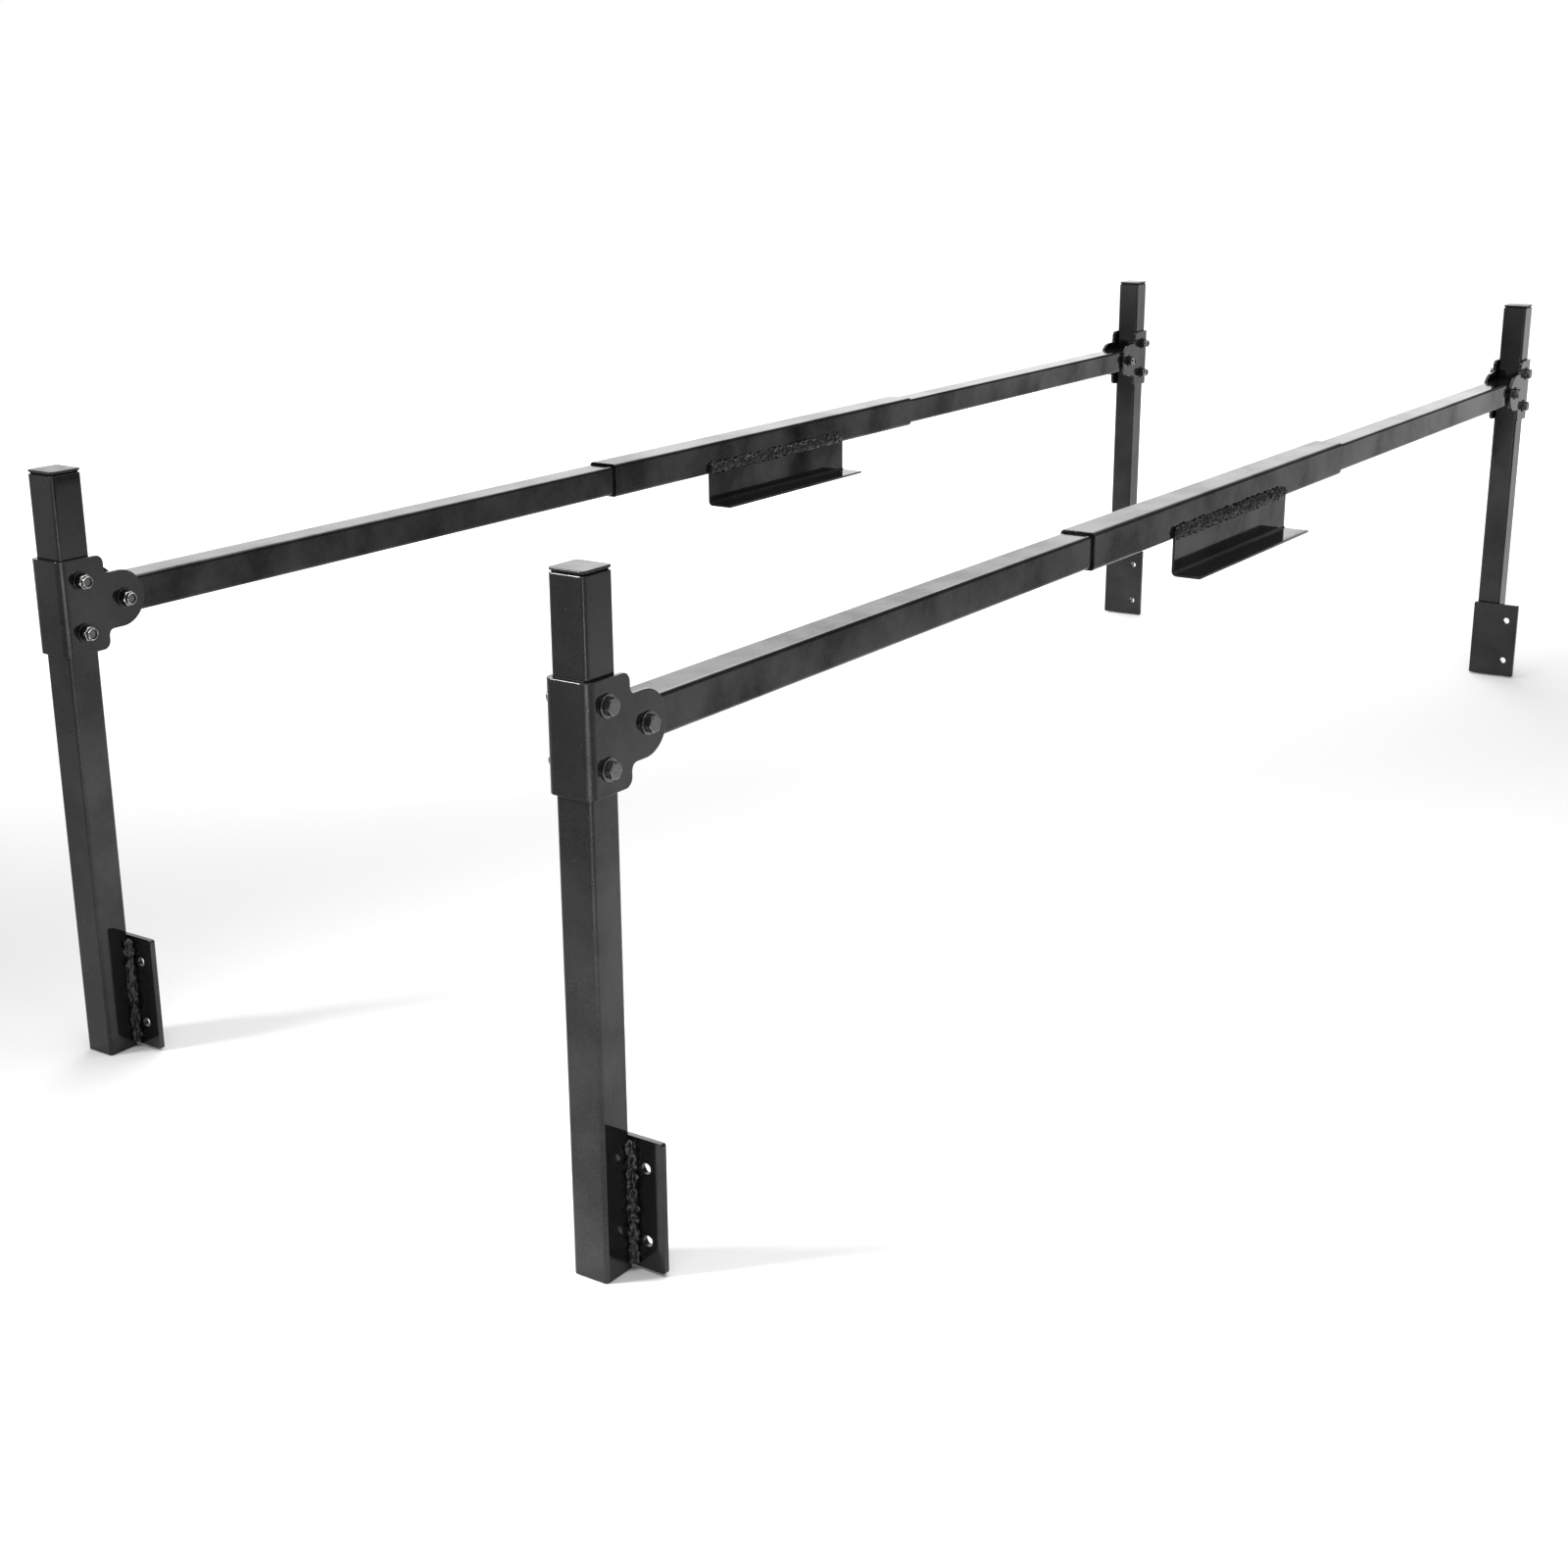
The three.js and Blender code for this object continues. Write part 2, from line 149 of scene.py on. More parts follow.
HEAD_SIDES = {"rear": 1, "front": -1}                   # the way a frame's bolt heads face along X
BOLT_SPIN = {"upper": 7, "lower": -11, "pivot": 4}      # how far each hexagon is turned, in degrees
BACK_SEED = 50                                          # keeps the beads of a post unlike
SHELF_SEED = 20                                         # and the shelf beads unlike them

# ---- Camera ------------------------------------------------------------------------------------

CAMERA_PLACE = Vector((1.49948, -2.68585, 1.01357))
CAMERA_AZIMUTH = math.radians(34.114)
CAMERA_DOWN = math.radians(17.441)
CAMERA_ROLL = math.radians(0.391)
LENS = 51.62
SENSOR = 36.0


def camera():
    """Stands off the rear left corner and looks down a little, across both frames."""
    forward = Vector((
        -math.sin(CAMERA_AZIMUTH) * math.cos(CAMERA_DOWN),
        math.cos(CAMERA_AZIMUTH) * math.cos(CAMERA_DOWN),
        -math.sin(CAMERA_DOWN),
    ))
    data = bpy.data.cameras.new("camera")
    data.lens = LENS
    data.sensor_width = SENSOR
    data.clip_end = 100
    made = bpy.data.objects.new("camera", data)
    roll = Matrix.Rotation(-CAMERA_ROLL, 3, "Z")
    turn = forward.to_track_quat("-Z", "Y").to_matrix() @ roll
    made.matrix_world = Matrix.LocRotScale(CAMERA_PLACE, turn.to_quaternion(), None)
    bpy.context.scene.collection.objects.link(made)
    bpy.context.scene.camera = made


# ---- Studio ------------------------------------------------------------------------------------

BACKDROP = Vector((-0.56, 0.83, 0.1)).normalized()      # towards the middle of a bright window
BACKDROP_EDGE = (0.7, 0.93)             # cosines from BACKDROP over which the window brightens
BACKDROP_LIGHT = 1.6
ROOM_LIGHT = 0.22
SEEN_LIGHT = 1.0                        # the backdrop as the camera sees it
FLOOR_HALF = 30.0
FLOOR_DROP = 0.0004
FLOOR_GLOW = 0.85
FLOOR_FAR = Vector((-0.8, 0.6, 0))      # the way in which the paper's painted glow rises
FLOOR_FAR_SPAN = (-0.4, 2.6)            # metres along FLOOR_FAR over which it does
FLOOR_ROUND_SPAN = (4.0, 7.0)           # and metres from the middle, all round

# Softboxes: name, place, aim, size, power in watts, spin about +Z and spread, in degrees.
SOFTBOXES = (
    ("overhead", (-0.7, 0.93, 2.6), (-0.7, 0.93, 0), (2.4, 9.0), 142, 34, 180),
    ("camera_side", (1.6, -3.0, 2.2), (1.6, -3.0, 0), (0.3, 2.6), 26, 34, 50),
    ("left_edge", (-1.3, -2.8, 2.0), (0.2, -1.3, 0.6), (0.6, 1.0), 9, 0, 40),
)


def world():
    """A dim room with a bright window low behind the rack; the camera itself sees plain white."""
    made = bpy.data.worlds.new("studio")
    made.use_nodes = True
    bpy.context.scene.world = made
    tree = made.node_tree
    background = tree.nodes["Background"]
    background.inputs["Color"].default_value = (1, 1, 1, 1)
    ray = add(tree, "ShaderNodeTexCoord").outputs["Generated"]
    along = add(tree, "ShaderNodeVectorMath", operation="DOT_PRODUCT")
    along.inputs[1].default_value = BACKDROP
    tree.links.new(ray, along.inputs[0])
    window = ranged(tree, along.outputs["Value"], BACKDROP_EDGE, (ROOM_LIGHT, BACKDROP_LIGHT))
    window.node.interpolation_type = "SMOOTHSTEP"
    seen = add(tree, "ShaderNodeLightPath").outputs["Is Camera Ray"]
    light = add(tree, "ShaderNodeMix", data_type="FLOAT")
    light.inputs["B"].default_value = SEEN_LIGHT
    tree.links.new(seen, light.inputs["Factor"])
    tree.links.new(window, light.inputs["A"])
    tree.links.new(light.outputs["Result"], background.inputs["Strength"])


def softbox(name, place, aim, size, power, spin, spread):
    """A rectangular light that the camera itself doesn't see."""
    data = bpy.data.lights.new(name, "AREA")
    data.shape = "RECTANGLE"
    data.size, data.size_y = size
    data.energy = power
    data.spread = math.radians(spread)
    made = bpy.data.objects.new(name, data)
    aimed = (Vector(aim) - Vector(place)).to_track_quat("-Z", "Y").to_matrix()
    turn = Matrix.Rotation(math.radians(spin), 3, "Z") @ aimed
    made.matrix_world = Matrix.LocRotScale(Vector(place), turn.to_quaternion(), None)
    made.visible_camera = False
    bpy.context.scene.collection.objects.link(made)


def floor():
    """Pale paper with a painted glow that rises with distance, so that it meets the backdrop with no
    line.
    """
    mesh = bpy.data.meshes.new("studio_floor")
    h = FLOOR_HALF
    z = -FLOOR_DROP
    mesh.from_pydata([(-h, -h, z), (h, -h, z), (h, h, z), (-h, h, z)], [], [(0, 1, 2, 3)])
    paper = bpy.data.materials.new("studio_paper")
    paper.use_nodes = True
    shader = paper.node_tree.nodes["Principled BSDF"]
    shader.inputs["Base Color"].default_value = (0.86, 0.86, 0.86, 1)
    shader.inputs["Roughness"].default_value = 0.9
    shader.inputs["Specular IOR Level"].default_value = 0.1
    shader.inputs["Emission Color"].default_value = (1, 1, 1, 1)
    tree = paper.node_tree
    away = add(tree, "ShaderNodeVectorMath", operation="DOT_PRODUCT")
    away.inputs[1].default_value = FLOOR_FAR
    place = add(tree, "ShaderNodeTexCoord").outputs["Object"]
    tree.links.new(place, away.inputs[0])
    reach = add(tree, "ShaderNodeVectorMath", operation="LENGTH")
    tree.links.new(place, reach.inputs[0])
    glow = add(tree, "ShaderNodeMath", operation="MAXIMUM")
    for i, (source, span) in enumerate(((away, FLOOR_FAR_SPAN), (reach, FLOOR_ROUND_SPAN))):
        share = ranged(tree, source.outputs["Value"], span, (0, FLOOR_GLOW))
        share.node.interpolation_type = "SMOOTHSTEP"
        tree.links.new(share, glow.inputs[i])
    tree.links.new(glow.outputs["Value"], shader.inputs["Emission Strength"])
    mesh.materials.append(paper)
    made = bpy.data.objects.new("studio_floor", mesh)
    bpy.context.scene.collection.objects.link(made)


# ---- Materials ---------------------------------------------------------------------------------
# Noise scales are waves in a metre, bump distances are metres, and shades are linear.

COAT_DARK = 0.0045
COAT_LIGHT = 0.0085
COAT_GLOSS = (0.05, 0.11)       # roughness, from patch to patch
COAT_GRAIN = 0.09               # how much the fine grain changes the shine
COAT_PEEL = 1.1e-5
COAT_WAVES = 1.2e-5
SHORT_COAT_SHINE = (0.3, 0.5)   # specular level, from patch to patch
LONG_COAT_SHINE = (0.13, 0.44)
WELD_SHINE = 0.42
CAP_SHINE = 0.28


def add(tree, kind, **settings):
    made = tree.nodes.new(kind)
    for name, value in settings.items():
        setattr(made, name, value)
    return made


def ranged(tree, source, given, wanted):
    """Source mapped from one range to another, limited to it."""
    made = add(tree, "ShaderNodeMapRange")
    for socket, value in zip(("From Min", "From Max", "To Min", "To Max"), (*given, *wanted)):
        made.inputs[socket].default_value = value
    tree.links.new(source, made.inputs["Value"])
    return made.outputs["Result"]


def noise_of(tree, place, scale, detail=2.0, roughness=0.5):
    made = add(tree, "ShaderNodeTexNoise")
    made.inputs["Scale"].default_value = scale
    made.inputs["Detail"].default_value = detail
    made.inputs["Roughness"].default_value = roughness
    tree.links.new(place, made.inputs["Vector"])
    return made.outputs["Fac"]


def mixed(tree, share, first, second):
    """A colour between first and second, each a colour or a socket."""
    made = add(tree, "ShaderNodeMix", data_type="RGBA")
    tree.links.new(share, made.inputs["Factor"])
    for socket, value in ((made.inputs[6], first), (made.inputs[7], second)):
        if isinstance(value, bpy.types.NodeSocket):
            tree.links.new(value, socket)
        else:
            socket.default_value = (*value, 1)
    return made.outputs[2]


def bumped(tree, height, distance, below=None):
    made = add(tree, "ShaderNodeBump")
    made.inputs["Distance"].default_value = distance
    tree.links.new(height, made.inputs["Height"])
    if below is not None:
        tree.links.new(below, made.inputs["Normal"])
    return made.outputs["Normal"]


def specks(tree, place, scale, size):
    """1 on a sparse scatter of small dots, 0 elsewhere."""
    cells = add(tree, "ShaderNodeTexVoronoi")
    cells.inputs["Scale"].default_value = scale
    tree.links.new(place, cells.inputs["Vector"])
    dot = ranged(tree, cells.outputs["Distance"], (size, size * 0.6), (0, 1))
    chosen = add(tree, "ShaderNodeSeparateColor")
    tree.links.new(cells.outputs["Color"], chosen.inputs["Color"])
    kept = ranged(tree, chosen.outputs["Red"], (0.84, 0.86), (0, 1))
    both = add(tree, "ShaderNodeMath", operation="MULTIPLY")
    tree.links.new(dot, both.inputs[0])
    tree.links.new(kept, both.inputs[1])
    return both.outputs["Value"]


def started(name):
    """A new material with its tree, its shader and the place on the piece."""
    made = bpy.data.materials.new(name)
    made.use_nodes = True
    tree = made.node_tree
    place = add(tree, "ShaderNodeTexCoord").outputs["Object"]
    return made, tree, tree.nodes["Principled BSDF"], place


def worn(tree):
    """How far a point is on a rounded edge, from the mesh."""
    return add(tree, "ShaderNodeAttribute", attribute_name="edge").outputs["Fac"]


def powder_coat(name, shine):
    """Gloss black powder coat: orange peel, slow waves from the tube under it, dust, thin on edges.

    shine is its range of specular level, because dull patches lie beside bright ones.
    """
    made, tree, shader, place = started(name)
    cloud = noise_of(tree, place, 22, 4)
    dark = (COAT_DARK, COAT_DARK, COAT_DARK)
    light = (COAT_LIGHT, COAT_LIGHT, COAT_LIGHT * 0.97)
    shade = mixed(tree, cloud, dark, light)
    shade = mixed(tree, specks(tree, place, 190, 0.13), shade, (0.05, 0.05, 0.048))
    grain = ranged(tree, noise_of(tree, place, 850, 2), (0.45, 0.75), (0, 0.5))
    shade = mixed(tree, grain, shade, (0.02, 0.02, 0.0195))
    edge = ranged(tree, worn(tree), (0.3, 1.0), (0, 0.5))
    shade = mixed(tree, edge, shade, (0.025, 0.025, 0.025))
    tree.links.new(shade, shader.inputs["Base Color"])
    finish = ranged(tree, noise_of(tree, place, 38, 5, 0.6), (0.3, 0.7), COAT_GLOSS)
    tree.links.new(finish, shader.inputs["Roughness"])
    dull = ranged(tree, noise_of(tree, place, 8, 5, 0.62), (0.4, 0.62), shine)
    fleck = ranged(tree, noise_of(tree, place, 800, 2), (0.3, 0.7), (-COAT_GRAIN, COAT_GRAIN))
    both = add(tree, "ShaderNodeMath", operation="ADD")
    tree.links.new(dull, both.inputs[0])
    tree.links.new(fleck, both.inputs[1])
    tree.links.new(both.outputs["Value"], shader.inputs["Specular IOR Level"])
    slow = bumped(tree, noise_of(tree, place, 13, 1), COAT_WAVES)
    fine = bumped(tree, noise_of(tree, place, 620, 2), COAT_PEEL, slow)
    tree.links.new(fine, shader.inputs["Normal"])
    return made


def weld_coat():
    """The same coat over a weld: its shade mottled at random, with pits and spatter under it."""
    made, tree, shader, place = started("weld_bead")
    shade = mixed(tree, noise_of(tree, place, 260, 4), (0.006, 0.006, 0.006), (0.02, 0.0195, 0.019))
    tree.links.new(shade, shader.inputs["Base Color"])
    finish = ranged(tree, noise_of(tree, place, 300, 3), (0.3, 0.7), (0.07, 0.2))
    tree.links.new(finish, shader.inputs["Roughness"])
    shader.inputs["Specular IOR Level"].default_value = WELD_SHINE
    pits = bumped(tree, noise_of(tree, place, 900, 4, 0.6), 6e-5)
    tree.links.new(pits, shader.inputs["Normal"])
    return made


def cap_plastic():
    """Moulded black polyethylene with a fine spark-eroded grain."""
    made, tree, shader, place = started("cap_plastic")
    shade = mixed(tree, noise_of(tree, place, 90, 3), (0.011, 0.011, 0.011), (0.019, 0.019, 0.019))
    shade = mixed(tree, ranged(tree, worn(tree), (0.4, 1), (0, 0.5)), shade, (0.04, 0.04, 0.04))
    tree.links.new(shade, shader.inputs["Base Color"])
    shader.inputs["Specular IOR Level"].default_value = CAP_SHINE
    finish = ranged(tree, noise_of(tree, place, 60, 4), (0.3, 0.7), (0.24, 0.34))
    tree.links.new(finish, shader.inputs["Roughness"])
    grain = bumped(tree, noise_of(tree, place, 2300, 3, 0.6), 1.6e-5)
    tree.links.new(grain, shader.inputs["Normal"])
    return made


def black_zinc(name, dark, light, rubbed, gloss):
    """Black zinc on steel, rubbed lighter on the edges, with a slightly grainy forged face.

    dark, light and rubbed are the shades of its patches and worn edges, and gloss its roughness.
    """
    made, tree, shader, place = started(name)
    shader.inputs["Metallic"].default_value = 0.9
    shade = mixed(tree, noise_of(tree, place, 420, 4, 0.6), (dark, dark, dark), (light, light, light))
    rub = add(tree, "ShaderNodeMath", operation="MULTIPLY")
    tree.links.new(worn(tree), rub.inputs[0])
    patchy = ranged(tree, noise_of(tree, place, 700, 3), (0.35, 0.65), (0.15, 1))
    tree.links.new(patchy, rub.inputs[1])
    shade = mixed(tree, rub.outputs["Value"], shade, (rubbed, rubbed, rubbed * 0.97))
    tree.links.new(shade, shader.inputs["Base Color"])
    finish = ranged(tree, noise_of(tree, place, 500, 3), (0.3, 0.7), gloss)
    tree.links.new(finish, shader.inputs["Roughness"])
    grain = bumped(tree, noise_of(tree, place, 1500, 3), 2.2e-5)
    tree.links.new(grain, shader.inputs["Normal"])
    return made


def nylon():
    """The locking ring inside a nut: dark nylon, faintly mottled."""
    made, tree, shader, place = started("nylon")
    shade = mixed(tree, noise_of(tree, place, 800, 3), (0.012, 0.012, 0.012), (0.03, 0.03, 0.029))
    tree.links.new(shade, shader.inputs["Base Color"])
    finish = ranged(tree, noise_of(tree, place, 600, 2), (0.3, 0.7), (0.4, 0.55))
    tree.links.new(finish, shader.inputs["Roughness"])
    return made


materials = {
    "powder_coat": powder_coat("powder_coat", SHORT_COAT_SHINE),
    "weld_bead": weld_coat(),
    "cap_plastic": cap_plastic(),
    "fastener_zinc": black_zinc("fastener_zinc", 0.07, 0.18, 0.3, (0.22, 0.4)),
}
nut_finish = black_zinc("nut_zinc", 0.03, 0.09, 0.8, (0.12, 0.24))
# Nut-side washers: a darker copy of the fastener zinc, painted shade for the shadow they sit in.
nut_washer_shaded_finish = black_zinc("washer_zinc_painted_shade", 0.02, 0.05, 0.14, (0.24, 0.4))
nylon_finish = nylon()
long_coat = powder_coat("powder_coat_long", LONG_COAT_SHINE)


# ---- Shapes ------------------------------------------------------------------------------------
# A shape is (points, faces, normals or None, edge shares), drawn in millimetres.


def arc(centre, radius, start, end, steps):
    """Points of an arc about centre, both ends included."""
    angles = [start + (end - start) * i / steps for i in range(steps + 1)]
    return [(centre[0] + radius * math.cos(a), centre[1] + radius * math.sin(a)) for a in angles]


def rounded_square(size, corner):
    flat = size / 2 - corner
    points = []
    for i, (x, y) in enumerate(((flat, flat), (-flat, flat), (-flat, -flat), (flat, -flat))):
        points += arc((x, y), corner, i * QUARTER, (i + 1) * QUARTER, CORNER_STEPS)
    return points


def loft(rings, edges, closed):
    """Rings of equal length joined in turn. A closed loft meets itself; an open one has flat ends."""
    count = len(rings[0])
    total = len(rings)
    points = [Vector(p) for ring in rings for p in ring]
    faces = []
    for a in range(total if closed else total - 1):
        b = (a + 1) % total
        for i in range(count):
            j = (i + 1) % count
            faces.append((a * count + i, a * count + j, b * count + j, b * count + i))
    if not closed:
        faces.append(tuple(range(count)))
        faces.append(tuple((total - 1) * count + i for i in range(count)))
    return points, faces, None, [edge for edge in edges for _ in range(count)]


def rounding(radius, steps=3):
    """(inset, depth, edge share) down a rounded edge, from the side face to the end face."""
    return [
        (radius * (1 - math.cos(a)), radius * (1 - math.sin(a)), math.sin(2 * a))
        for a in (QUARTER * i / steps for i in range(steps + 1))
    ]


def square_tube(size, corner, wall, start, end):
    """Square tube along +Z with sawn, slightly rounded ends."""
    outer = rounding(CUT_EDGE)
    inner = [(wall - inset, depth, edge) for inset, depth, edge in reversed(outer)]
    mouth = outer + inner
    path = [(inset, start + depth, edge) for inset, depth, edge in mouth]
    path += [(inset, end - depth, edge) for inset, depth, edge in reversed(mouth)]
    rings = []
    for inset, along, _ in path:
        square = rounded_square(size - 2 * inset, max(corner - inset, 0.9))
        rings.append([(x, y, along) for x, y in square])
    return loft(rings, [edge for _, _, edge in path], True)


def square_turned(size, corner, path):
    """A solid of square section: path is (inset, height, edge share), from its top to its inside."""
    rings = []
    for inset, height, _ in path:
        square = rounded_square(size - 2 * inset, max(corner - inset, 0.6))
        rings.append([(x, y, height) for x, y in square])
    return loft(rings, [edge for _, _, edge in path], False)


def turned(path, closed):
    """A turned solid about +Z: path is (radius, height, edge share, how hexagonal)."""
    rings = []
    for radius, height, _, hexed in path:
        ring = []
        for i in range(TURN_STEPS):
            angle = 2 * math.pi * i / TURN_STEPS
            reach, drop = radius, 0.0
            if hexed:
                reach, drop = hex_reach(angle, radius, hexed)
            ring.append((reach * math.cos(angle), reach * math.sin(angle), height - drop))
        rings.append(ring)
    return loft(rings, [edge for _, _, edge, _ in path], closed)


def hex_reach(angle, radius, hexed):
    """Reach of a soft-cornered hexagon, and how far its chamfer has dropped there.

    hexed is 1 on the chamfered top edge, -1 on the chamfered lower edge, and 2 on the side.
    """
    sides = [math.cos(angle - k * math.pi / 3) for k in range(6)]
    reach = radius / sum(max(c, 0) ** HEX_SOFTNESS for c in sides) ** (1 / HEX_SOFTNESS)
    drop = (reach - radius) * CHAMFER_SLOPE
    return reach, {1: drop, -1: -drop, 2: 0.0}[hexed]


def offset_loop(loop, inset):
    """A closed loop with its material on the left, moved towards the material."""
    moved = []
    for i, (x, y) in enumerate(loop):
        ax, ay = loop[i - 1]
        bx, by = loop[(i + 1) % len(loop)]
        before = Vector((x - ax, y - ay)).normalized()
        after = Vector((bx - x, by - y)).normalized()
        out = Vector((-before.y - after.y, before.x + after.x)).normalized()
        reach = inset / max(out.dot(Vector((-after.y, after.x))), 0.5)
        moved.append((x + out.x * reach, y + out.y * reach, out))
    return moved


def folded_sheet(loops, thickness, edge, folds, place):
    """Sheet metal with rounded edges, folded from a flat pattern (u, v).

    loops are closed outlines: the outside first, anticlockwise, then holes, clockwise.
    folds are the u positions that need a line across the sheet.
    place(u, v, depth) is where a point of the pattern ends up.
    """
    rim = rounding(edge)
    profile = [
        (inset, depth, share, QUARTER * (1 - i / (len(rim) - 1)))
        for i, (inset, depth, share) in enumerate(reversed(rim))
    ]
    profile += [
        (inset, thickness - depth, share, -tilt)
        for inset, depth, share, tilt in reversed(profile)
    ]
    points, normals, edges, faces, flat, links = [], [], [], [], [], []

    # The rounded rim around each loop
    for loop in loops:
        count = len(loop)
        base = len(points)
        start = len(flat)
        for inset, depth, share, tilt in profile:
            for u, v, inward in offset_loop(loop, inset):
                side = -inward * math.cos(tilt)
                points.append(Vector(place(u, v, depth)))
                normals.append(placed_normal(place, u, v, depth, side, math.sin(tilt)))
                edges.append(share)
        for a in range(len(profile) - 1):
            for i in range(count):
                j = (i + 1) % count
                here, below = base + a * count, base + (a + 1) * count
                faces.append((here + i, below + i, below + j, here + j))
        last = base + (len(profile) - 1) * count
        for i, (u, v, _) in enumerate(offset_loop(loop, profile[0][0])):
            flat.append((u, v, base + i, last + i))
            links.append((start + i, start + (i + 1) % count))

    # The two faces, between the rims and with an edge along each fold
    outside = len(loops[0])
    for fold in folds:
        ends = [i for i in range(outside) if abs(loops[0][i][0] - fold) < 1e-6]
        links.append((ends[0], ends[1]))
    made = delaunay_2d_cdt([Vector((u, v)) for u, v, _, _ in flat], links, [], 0, 1e-5, True)
    for triangle in made[2]:
        middle = sum((made[0][i] for i in triangle), Vector((0, 0))) / 3
        if not in_material(middle, loops):
            continue
        corners = [made[3][i][0] for i in triangle]
        faces.append(tuple(flat[i][2] for i in corners))
        faces.append(tuple(flat[i][3] for i in reversed(corners)))
    return points, faces, normals, edges


def in_material(point, loops):
    """Whether a point is inside the outside loop and in no hole: it is within an odd number of them."""
    crossed = 0
    for loop in loops:
        for (ax, ay), (bx, by) in zip(loop, loop[1:] + loop[:1]):
            if (ay > point.y) != (by > point.y):
                crossed += point.x < ax + (point.y - ay) * (bx - ax) / (by - ay)
    return crossed % 2 == 1


def placed_normal(place, u, v, depth, side, up):
    """A normal of the flat pattern, (side.x, side.y, up), turned as the sheet is folded there."""
    here = Vector(place(u, v, depth))
    step = 1e-3
    du = (Vector(place(u + step, v, depth)) - Vector(place(u - step, v, depth))).normalized()
    dv = (Vector(place(u, v + step, depth)) - here).normalized()
    dd = (Vector(place(u, v, depth + step)) - here).normalized()
    return (du * side.x + dv * side.y - dd * up).normalized()


def circle(centre, diameter):
    """A hole's loop, clockwise."""
    return arc(centre, diameter / 2, 2 * math.pi, 0, HOLE_STEPS)[:-1]


def dabs(rng, length, pitch):
    """Overlapping dabs of weld along a bead: (centre, half length, height, sideways lean)."""
    made = []
    at = rng.uniform(0, pitch / 2)
    while at < length:
        half = pitch * rng.uniform(0.75, 1.3)
        height = rng.uniform(0.55, 1.0)
        lean = rng.uniform(-0.22, 0.22)
        made.append((at, half, height, lean))
        at += pitch * rng.uniform(0.6, 1.25)
    return made


def swell_at(lumps, along, t):
    """How high the highest dab stands at a point of a bead: each is a dome with a bowed front."""
    swell = 0.0
    for middle, half, height, lean in lumps:
        off = ((along - middle + 3 * (t - 0.5) ** 2 * half * 0.4) / half) ** 2
        off += ((t - 0.5 - lean) / DAB_WIDTH) ** 2
        if off < 1:
            swell = max(swell, height * math.sqrt(1 - off))
    return swell


def weld_bead(curve, back, length, seed, pitch, lump, ripple, ends):
    """A lumpy bead along +Z.

    curve(t) is the plain outer face for t from 0 to 1, as (a, b, push), where push is the direction
    it swells in. back is the list of points hidden behind it. The seed sets its dabs and roughness.
    """
    rng = random.Random(seed)
    lumps = dabs(rng, length, pitch)
    shift = Vector((seed * 7.1, seed * 3.7, seed * 1.3))
    rings = []
    steps = int(length / BEAD_STEP)
    for k in range(steps + 1):
        along = length * k / steps
        close = min(along, length - along) / ends
        taper = math.sqrt(max(0.0, 1 - (1 - min(close, 1.0)) ** 2))
        taper = BEAD_TIP + (1 - BEAD_TIP) * taper
        ring = []
        for i in range(BEAD_SIDES + 1):
            t = i / BEAD_SIDES
            a, b, push = curve(t)
            swell = swell_at(lumps, along, t)
            bowed = along + 2.6 * (2 * t - 1) ** 2
            wave = 0.5 + 0.5 * math.sin(2 * math.pi * bowed / RIPPLE_PITCH)
            rough = noise.noise(Vector((a, b, along)) * 0.9 + shift)
            coarse = noise.noise(Vector((a * 0.3, b * 0.3, along * 0.16)) + shift)
            inside = math.sin(math.pi * t) ** 0.5
            reach = lump * swell + ripple * wave * swell + 0.35 * rough + 0.7 * coarse
            hold = 1 + 0.4 * coarse
            across = (a * hold + push[0] * reach * inside) * taper
            out = (b * hold + push[1] * reach * inside) * taper
            ring.append((across, out, along))
        ring += [(a * taper, b * taper, along) for a, b in back]
        rings.append(ring)
    return loft(rings, [0.0] * len(rings), False)


# ---- From shapes to pieces ---------------------------------------------------------------------

bodies = frame["record"]["behaviour"]["bodies"]
home = {node: body for body, nodes in bodies.items() for node in nodes}


def area_normals(mesh):
    """Vertex normals that follow the largest faces, so flats stay flat beside rounded edges."""
    normals = np.zeros((len(mesh.vertices), 3))
    for polygon in mesh.polygons:
        weight = np.array(polygon.normal) * polygon.area ** 2
        for vertex in polygon.vertices:
            normals[vertex] += weight
    lengths = np.linalg.norm(normals, axis=1, keepdims=True)
    return normals / np.maximum(lengths, 1e-30)


def piece(name, shape, turn, material, node, stands=True):
    """A finished object from a shape in millimetres, riding with the CAD node that it belongs to."""
    points, faces, normals, edges = shape
    mesh = bpy.data.meshes.new(name)
    mesh.from_pydata([turn @ (p * MM) for p in points], [], faces)
    tidy = bmesh.new()
    tidy.from_mesh(mesh)
    bmesh.ops.recalc_face_normals(tidy, faces=tidy.faces)
    tidy.to_mesh(mesh)
    tidy.free()
    share = mesh.attributes.new("edge", "FLOAT", "POINT")
    share.data.foreach_set("value", np.array(edges, np.float32))
    mesh.materials.append(material)
    made = bpy.data.objects.new(name, mesh)
    bpy.context.scene.collection.objects.link(made)
    if normals is None:
        smooth(mesh, area_normals(mesh))
    else:
        spin = turn.to_3x3()
        smooth(mesh, [spin @ n for n in normals])
    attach(made, home[node])
    if stands:
        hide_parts(node)
    return made


def smooth(mesh, normals):
    mesh.polygons.foreach_set("use_smooth", [True] * len(mesh.polygons))
    mesh.normals_split_custom_set_from_vertices([tuple(n) for n in normals])


